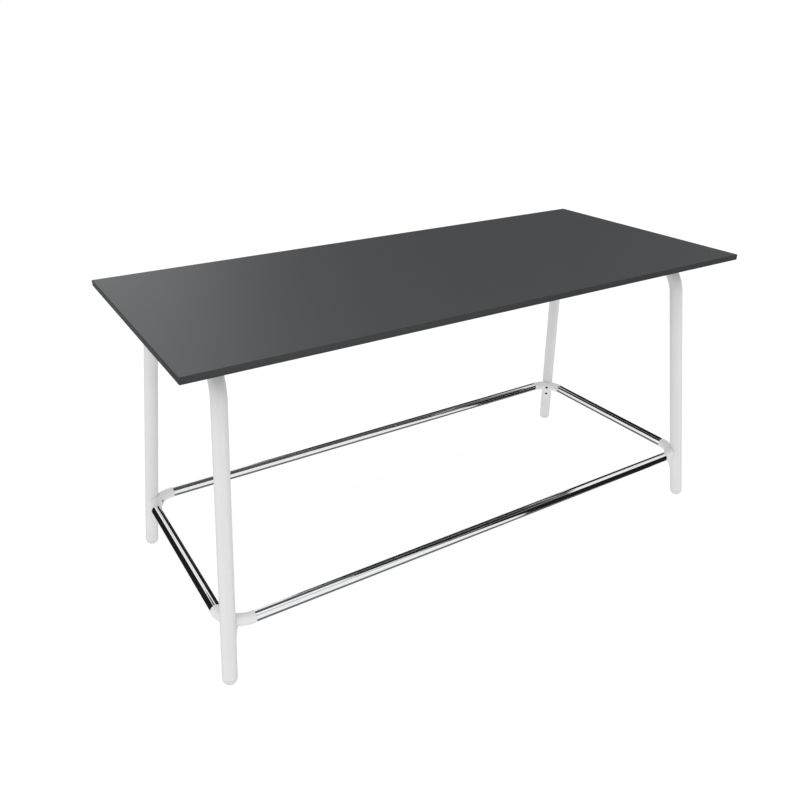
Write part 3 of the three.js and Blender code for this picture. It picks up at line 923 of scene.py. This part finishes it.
# %% Sizes of the tongue
TONGUE_WIDTH = 0.025
TONGUE_EDGE = 0.004
TONGUE_TAPER = math.radians(14.5)
TONGUE_ROOT = 0.75 * LEG_RADIUS
TIP_THICKNESS = 0.001
TIP_ROUNDING = 0.98
FLARE_WIDTH = 0.014
FLARE_HEIGHT = 0.030
FLARE_TOP = -0.009
FLARE_STEPS = 10
FACE_LEAN = TILT + TONGUE_TAPER
FACE_X = ELBOW_CENTRE + ELBOW_RADIUS - ELBOW_HALF * math.cos(FACE_LEAN)
FACE_Z = -ELBOW_HALF * math.sin(FACE_LEAN)
FACE_TO_LEG = -FACE_X * math.cos(TILT) - FACE_Z * math.sin(TILT)
TONGUE_LENGTH = (FACE_TO_LEG - LEG_RADIUS - TIP_THICKNESS) / math.sin(TONGUE_TAPER)
print(f"tongue {TONGUE_LENGTH:.4f} long, its face {FACE_TO_LEG:.4f} from the leg's middle at the top")


# %% Tongue
def flat_tongue():
    """The outline lies flat: X across and Y up the leg. The flare is a quarter of an ellipse."""
    wide = TONGUE_WIDTH / 2 + FLARE_WIDTH
    fresh()
    bpy.ops.mesh.primitive_plane_add(size=1, location=(0, FLARE_TOP / 2, 0), enter_editmode=True)
    resize((2 * wide, -FLARE_TOP, 1), (0, FLARE_TOP / 2, 0))
    body = done()
    edit()
    pick("EDGE", lambda p: p.y < FLARE_TOP + TINY)
    half, drop = wide, 0
    for step in range(1, FLARE_STEPS + 1):
        turn = math.pi / 2 * step / FLARE_STEPS
        next_half = wide - FLARE_WIDTH * math.sin(turn)
        next_drop = FLARE_HEIGHT * (1 - math.cos(turn))
        draw_out((0, drop - next_drop, 0))
        resize((next_half / half, 1, 1), (0, 0, 0))
        half, drop = next_half, next_drop
    draw_out((0, FLARE_HEIGHT - FLARE_TOP - TONGUE_LENGTH, 0))
    pick_items("VERT", lambda vertex: vertex.co.y < TINY - TONGUE_LENGTH)
    bpy.ops.mesh.bevel(offset=TONGUE_WIDTH / 2 * TIP_ROUNDING, segments=12, affect="VERTICES")
    return body


def is_face_rim(edge):
    """True for the edges round the tongue's face."""
    on_face = all(v.co.z < TINY for v in edge.verts)
    return on_face and len(edge.link_faces) == 2 and edge.calc_face_angle() > 1


def tongue():
    """The outline is drawn out towards the leg, its face is rounded, and it is stood against the leg."""
    body = flat_tongue()
    bpy.ops.mesh.select_all(action="SELECT")
    draw_out((0, 0, FACE_TO_LEG - TONGUE_ROOT))
    done()
    close_up(body)
    edit()
    pick_items("EDGE", is_face_rim)
    bpy.ops.mesh.bevel(offset=TONGUE_EDGE, segments=6, affect="EDGES", clamp_overlap=True)
    done()
    across = Vector((0, 1, 0))
    up = Vector((-math.sin(FACE_LEAN), 0, math.cos(FACE_LEAN)))
    turned = Matrix((across, up, across.cross(up))).transposed().to_4x4()
    body.matrix_world = shift(FACE_X, 0, FACE_Z) @ turned
    return done()


# %% Saw and drill for the bracket
CUTTER_SIDES = 48
SPIGOT_RADIUS = RAIL_RADIUS - RAIL_WALL - FIT_GAP
SPIGOT_LENGTH = 0.024
RIM_WIDTH = 0.0003
RIM_RISE = 0.0002


def round_cutter(radius, start, stop, rise):
    """A round cutter square to the leaning leg, on its inner side."""
    cutter = cylinder(CUTTER_SIDES, radius, start - stop)
    middle = shift(-(start + stop) / 2, 0, rise) @ turn_about("Y", math.pi / 2)
    cutter.matrix_world = turn_about("Y", -TILT) @ middle
    return done()


def saw_off(body, side):
    """Saws one end of the elbow square, eases its rim and draws the spigot out of it."""
    along = Vector((DIAGONAL.x, side * DIAGONAL.y, 0))
    end = Vector((CORNER_X, 0, 0)) + along * ELBOW_REACH

    def on_cut(point):
        return abs((point - end).dot(along)) < TINY and (point - end).length < 2 * ELBOW_HALF

    use(body)
    edit()
    cut_off(end, along)
    pick("FACE", on_cut)
    bpy.ops.mesh.inset(thickness=RIM_WIDTH)
    bpy.ops.transform.translate(value=along * RIM_RISE)
    bpy.ops.mesh.inset(thickness=ELBOW_HALF - SPIGOT_RADIUS - RIM_WIDTH)
    draw_out(along * SPIGOT_LENGTH)
    bpy.ops.object.mode_set(mode="OBJECT")


# %% Join, soften and cut the bracket
BRACKET_VOXEL = 0.0008
SOFTENING_PASSES = 14
LEG_CUT = 0.4
LEG_CUT_SIDES = 128
HEAD_BORE = 0.0054
SHANK_BORE = 0.0033
# For each screw, its height along the leg and how far the underside of its head stands off the leg.
BRACKET_SCREWS = {"upper": (0.003, 0.0129), "lower": (-0.032, 0.0044)}


def corner_bracket():
    body = elbow()
    rib = tongue()
    apply_modifier(body, "BOOLEAN", operation="UNION", solver="EXACT", object=rib)
    throw_away(rib)
    apply_modifier(body, "REMESH", mode="VOXEL", voxel_size=BRACKET_VOXEL)
    apply_modifier(body, "SMOOTH", factor=0.5, iterations=SOFTENING_PASSES)
    for side in SIDES.values():
        saw_off(body, side)
    take_away(body, cylinder(LEG_CUT_SIDES, SADDLE_RADIUS, LEG_CUT, rotation=(0, -TILT, 0)))
    for rise, under_head in BRACKET_SCREWS.values():
        take_away(body, round_cutter(HEAD_BORE, 2 * FACE_TO_LEG, LEG_RADIUS + under_head, rise))
        take_away(body, round_cutter(SHANK_BORE, FACE_TO_LEG, 0, rise))
    smooth(body, degrees=40)
    return body


bracket = corner_bracket()
print("bracket faces:", len(bracket.data.polygons), "box:", [round(v, 4) for v in bracket.dimensions])

# %% Screws of the bracket
BRACKET_SCREW_HEAD = 0.004
SCREW_IN_LEG = 0.0132
bracket_screws = {}
for where, (rise, under_head) in BRACKET_SCREWS.items():
    upright = screw(
        head_radius=0.005,
        head_height=BRACKET_SCREW_HEAD,
        shank_radius=0.003,
        length=under_head + SCREW_IN_LEG,
        tip=0.001,
        rim=0.0007,
        cutters=[hexagon_recess(radius=0.0023, depth=0.0024, head_height=BRACKET_SCREW_HEAD)],
    )
    seat = shift(-LEG_RADIUS - under_head - FIT_GAP, 0, rise)
    bracket_screws[where] = copy_to(upright, seat @ turn_about("Y", math.pi / 2))
    throw_away(upright)
print("bracket screws:", list(bracket_screws))


# %% Brackets and screws in place
def at_leg(end, side, height):
    """The middle of a leg at a height, with X pointing outwards along the diagonal."""
    middle = shift(ENDS[end] * leg_x(height), SIDES[side] * leg_y(height), height)
    return middle @ turn_about("Z", math.atan2(SIDES[side], ENDS[end]))


for end, side in CORNERS:
    name = f"{end}_{side}"
    corner = at_leg(end, side, RAIL_HEIGHT)
    piece = copy_to(bracket, corner)
    node = f"corner_bracket_{name}"
    settle(piece, f"moulded_bracket_{name}", "table", bracket_plastic_painted_light, node)
    for where, original in bracket_screws.items():
        piece = copy_to(original, corner @ turn_about("Y", -TILT))
        node = f"bracket_screw_{name}_{where}"
        settle(piece, f"cap_screw_{name}_{where}", "table", black_oxide, node)
throw_away(bracket, *bracket_screws.values())
print("brackets:", len(CORNERS))

# %% [markdown]
# ## The feet
# A foot is half a ball of the leg's own radius, moulded on a threaded stem that screws into an insert in the
# leg. The ball is cut square to the leaning leg and its rim is eased, which draws the faint seam under the
# tube. The thread is a small tooth swept round and up by the Screw modifier, so it shows when a foot is
# screwed out.

# %% Domed foot
DOME_SEGMENTS = 72
DOME_RINGS = 36


def dome():
    axis = Vector((-math.sin(TILT), 0, math.cos(TILT)))
    fresh()
    bpy.ops.mesh.primitive_uv_sphere_add(
        segments=DOME_SEGMENTS, ring_count=DOME_RINGS, radius=LEG_RADIUS, enter_editmode=True
    )
    cut_off((0, 0, 0), axis)
    body = done()
    edit()
    pick("EDGE", lambda p: abs(p.dot(axis)) < TINY)
    ease(EASED, steps=2)
    done()
    close_up(body)
    smooth(body, degrees=40)
    return body


# %% Threaded stem
STEM_RADIUS = 0.005
STEM_LENGTH = 0.040
THREAD_PITCH = 0.0015
THREAD_DEPTH = 0.0009
THREAD_STEPS = 24


def thread_tooth():
    """One tooth of the thread is three points, what is left of a plane without its fourth corner."""
    fresh()
    bpy.ops.mesh.primitive_plane_add(size=1, enter_editmode=True)
    mesh = bmesh.from_edit_mesh(bpy.context.edit_object.data)
    mesh.verts.ensure_lookup_table()
    bmesh.ops.delete(mesh, geom=[mesh.verts[3]], context="VERTS")
    middle = max(mesh.verts, key=lambda v: len(v.link_edges))
    ends = [v for v in mesh.verts if v is not middle]
    middle.co = (STEM_RADIUS, 0, THREAD_PITCH / 2)
    for end, height in zip(ends, (0, THREAD_PITCH)):
        end.co = (STEM_RADIUS - THREAD_DEPTH, 0, height)
    bmesh.update_edit_mesh(bpy.context.edit_object.data)
    return done()


def threaded_stem():
    """The Screw modifier sweeps the tooth round and up, and both ends are closed."""
    body = thread_tooth()
    apply_modifier(
        body,
        "SCREW",
        axis="Z",
        angle=2 * math.pi,
        screw_offset=THREAD_PITCH,
        iterations=int(STEM_LENGTH / THREAD_PITCH) - 1,
        steps=THREAD_STEPS,
        render_steps=THREAD_STEPS,
        use_merge_vertices=True,
        merge_threshold=TINY,
    )
    use(body)
    edit()
    bpy.ops.mesh.select_all(action="SELECT")
    bpy.ops.mesh.remove_doubles(threshold=TINY)
    bpy.ops.mesh.fill_holes(sides=0)
    bpy.ops.mesh.normals_make_consistent(inside=False)
    done()
    smooth(body)
    return body


# %% Insert in the leg
INSERT_LENGTH = 0.030
INSERT_EDGE = 0.0005
INSERT_SIDES = 64
INSERT_RADIUS = LEG_RADIUS - LEG_WALL - FIT_GAP
INSERT_BORE = STEM_RADIUS + 2 * FIT_GAP


def insert():
    body = cylinder(INSERT_SIDES, INSERT_RADIUS, INSERT_LENGTH, (0, 0, INSERT_LENGTH / 2))
    edit()
    pick("EDGE", lambda p: p.z < TINY)
    ease(INSERT_EDGE, steps=2)
    done()
    take_away(body, cylinder(CUTTER_SIDES, INSERT_BORE, 3 * INSERT_LENGTH))
    smooth(body)
    return body


# %% Feet in place
STEM_SEAT = 0.011
foot, stem, plug = dome(), threaded_stem(), insert()
for end, side in CORNERS:
    name = f"{end}_{side}"
    level = at_leg(end, side, LEG_RADIUS)
    along = level @ turn_about("Y", -TILT)
    piece = copy_to(foot, level)
    settle(piece, f"domed_foot_{name}", f"foot_{name}", foot_plastic_painted_shade, f"foot_dome_{name}")
    piece = copy_to(stem, along @ shift(0, 0, FIT_GAP - STEM_SEAT))
    settle(piece, f"threaded_stem_{name}", f"foot_{name}", zinc, f"foot_stem_{name}")
    piece = copy_to(plug, along @ shift(0, 0, FIT_GAP))
    settle(piece, f"grip_insert_{name}", "table", grey_plastic, f"leg_insert_{name}")
throw_away(foot, stem, plug)
print("feet:", len(CORNERS))

# %% [markdown]
# ## The studio
# The table stands on a plain white floor in soft light from all round. The floor is lit like any floor, but
# the camera also sees a white glow in it, so that it comes out white and keeps a faint shadow.

# %% Floor
FLOOR_SIZE = 60
FLOOR_GLOW_SHARE = 0.78
FLOOR_GLOW = 1.11
fresh()
bpy.ops.mesh.primitive_plane_add(size=FLOOR_SIZE)
floor = bpy.context.object
floor.name = "studio_floor"
floor.visible_glossy = False
floor.visible_diffuse = False
floor_finish = Finish("studio_floor")
floor_finish.shade(base_color=screen_colour(244, 244, 244), roughness=0.9, specular_ior_level=0.0)
camera_ray = floor_finish.node("ShaderNodeLightPath", {}, output="Is Camera Ray")
glow = floor_finish.node("ShaderNodeEmission", {"Color": (1, 1, 1, 1), "Strength": FLOOR_GLOW})
lit = Link(floor_finish, floor_finish.shader.outputs[0])
blend = floor_finish.node("ShaderNodeMixShader", {0: camera_ray * FLOOR_GLOW_SHARE, 1: lit, 2: glow})
floor_finish.put(floor_finish.tree.nodes["Material Output"].inputs["Surface"], blend)
floor.data.materials.append(floor_finish.material)
print("floor:", floor.dimensions.x, "m wide")

# %% [markdown]
# ## The light
# The world is white for the camera and for mirrors, and a little lower as light. Nearly all the light comes
# from it, because the white tubes look almost the same all round. One large lamp, high at the front left,
# lifts the sides of the legs that face it.

# %% World
WORLD_LIGHT = 0.90
world = bpy.data.worlds.new("studio")
bpy.context.scene.world = world
world.use_nodes = True
sky = Nodes(world.node_tree)
seen = sky.node("ShaderNodeLightPath", {}, output="Is Camera Ray")
for ray in ("Is Glossy Ray", "Is Transmission Ray"):
    seen = sky.maths("MAXIMUM", seen, sky.node("ShaderNodeLightPath", {}, output=ray))
background = sky.tree.nodes["Background"].inputs
sky.put(background["Color"], (1, 1, 1, 1))
sky.put(background["Strength"], seen * (1 - WORLD_LIGHT) + WORLD_LIGHT)
print("world light", WORLD_LIGHT)

# %% Lamp
LAMP_PLACE = Vector((-3.4, -2.4, 3.6))
LAMP_TARGET = Vector((0, 0, 0.5))
LAMP_SIZE = 3.0
LAMP_POWER = 20
fresh()
bpy.ops.object.light_add(type="AREA", location=LAMP_PLACE)
lamp = bpy.context.object
lamp.data.size = LAMP_SIZE
lamp.data.energy = LAMP_POWER
lamp.visible_glossy = False
lamp.rotation_euler = (LAMP_TARGET - LAMP_PLACE).to_track_quat("-Z", "Y").to_euler()
print("lamp", lamp.data.energy, "W")

# %% [markdown]
# ## Cards for the chrome
# Chrome shows only what stands around it, and in a white room it would vanish. A photographer sets up black
# and grey cards out of the picture. Here they stand on far walls of a large room, and only reflections see
# them. A straight tube mirrors a card edge as a straight line along it where that edge points at the middle
# of the wall that the tube points at, so the slanted edges of these cards aim there.

# %% A card on a far wall
WALL_DISTANCE = 30.0
X_AXIS, Y_AXIS, Z_AXIS = Vector((1, 0, 0)), Vector((0, 1, 0)), Vector((0, 0, 1))
# For each wall, the way to it, the way across it and the way up it.
WALLS = {
    "rear": (Y_AXIS, X_AXIS, Z_AXIS),
    "front": (-Y_AXIS, X_AXIS, Z_AXIS),
    "right": (X_AXIS, Y_AXIS, Z_AXIS),
    "left": (-X_AXIS, Y_AXIS, Z_AXIS),
    "below": (-Z_AXIS, X_AXIS, Y_AXIS),
    "above": (Z_AXIS, X_AXIS, Y_AXIS),
}


def card_finish(name, shade):
    finish = Finish(name)
    finish.shade(base_color=screen_colour(shade, shade, shade), roughness=1.0, specular_ior_level=0.0)
    return finish


def card(name, wall, finish, corners):
    """A flat card. Its corners count in wall distances, across and up from the middle of the wall."""
    away, across, up = WALLS[wall]
    fresh()
    bpy.ops.mesh.primitive_circle_add(vertices=len(corners), fill_type="NGON")
    piece = bpy.context.object
    piece.name = f"card_{name}"
    for vertex, (sideways, upwards) in zip(piece.data.vertices, corners):
        vertex.co = WALL_DISTANCE * (away + sideways * across + upwards * up)
    piece.location.z = RAIL_HEIGHT
    piece.data.materials.append(finish.material)
    piece.visible_camera = False
    piece.visible_diffuse = False
    piece.visible_shadow = False
    piece.visible_transmission = False


# %% Cards on the walls
black_card = card_finish("black_card", 34)
grey_card = card_finish("grey_card", 120)
card("rear_left", "rear", black_card, [
    (-0.25, 0.47), (-0.46, 0.865), (-1.02, 0.57), (-1.02, -0.75), (-0.45, -1.0),
    (0.33, -1.0), (0.33, -0.42), (-0.25, -0.42),
])
card("rear_right", "rear", black_card, [
    (0.29, 0.50), (0.50, 0.865), (1.9, 0.95), (1.9, -0.75), (0.29, -0.75),
])
card("rear_high", "rear", black_card, [
    (-1.0, 0.577), (-1.9, 1.1), (-1.9, 2.2), (1.9, 2.2), (1.9, 0.95), (0.50, 0.865), (-0.46, 0.865),
])
card("rear_low", "rear", grey_card, [
    (-0.93, -0.62), (-1.7, -1.15), (-1.7, -2.2), (0.9, -2.2), (0.6, -1.04), (-0.45, -1.04),
])
card("right_front", "right", black_card, [
    (-0.39, 0.45), (-1.05, 1.2), (-1.65, 1.29), (-1.62, 0.59), (-1.5, 0.0), (-1.38, -0.5),
    (-1.18, -0.92), (-0.51, -1.41), (0.0, -1.5), (0.75, -1.3), (0.3, -0.52), (-0.49, -0.34),
])
card("right_high", "right", black_card, [
    (-1.2, 1.42), (-0.4, 1.34), (1.0, 1.34), (1.3, 2.6), (-1.0, 2.6),
])
card("right_between", "right", grey_card, [
    (-1.2, 1.42), (-1.05, 1.2), (-0.84, 0.965), (-0.64, 1.10), (-0.435, 1.20), (-0.22, 1.255),
    (0.0, 1.275), (0.3, 1.34), (-0.4, 1.34),
])
card("front_strip", "front", black_card, [
    (-1.2, 0.80), (0.9, 0.80), (0.9, 1.02), (-1.2, 1.02),
])
card("front_left", "front", black_card, [
    (-1.3, -0.7), (0.1, -0.7), (0.1, 0.5), (-1.3, 0.5),
])
card("below", "below", grey_card, [
    (-0.95, -1.25), (0.95, -1.25), (0.95, 0.95), (-0.95, 0.95),
])
card("above", "above", grey_card, [
    (-0.3, -0.05), (0.75, -0.05), (0.75, 0.6), (-0.3, 0.6),
])
print("cards stand", WALL_DISTANCE, "m away")

# %% [markdown]
# A look along the table meets the long tubes at a flat angle, and then they mirror the middle of the end
# walls. Cards shaped like the leaves of a fan hang there: every edge that matters points at the middle, so
# the stripes run straight.

# %% Fans at the ends of the room
FAN_LEAVES = [(15, 62), (118, 165), (222, 238), (302, 318)]
FAN_INNER = 0.05
FAN_OUTER = 0.50
FAN_STEPS = 6


def fan_leaf(start, stop):
    """The corners of a card between two lines from the middle of a wall, at angles in degrees."""
    turns = [math.radians(start + (stop - start) * step / FAN_STEPS) for step in range(FAN_STEPS + 1)]
    outer = [(FAN_OUTER * math.cos(turn), FAN_OUTER * math.sin(turn)) for turn in turns]
    inner = [(FAN_INNER * math.cos(turn), FAN_INNER * math.sin(turn)) for turn in reversed(turns)]
    return outer + inner


for wall in ("left", "right"):
    for start, stop in FAN_LEAVES:
        card(f"{wall}_fan_{start}", wall, black_card, fan_leaf(start, stop))
print("fan leaves:", 2 * len(FAN_LEAVES))
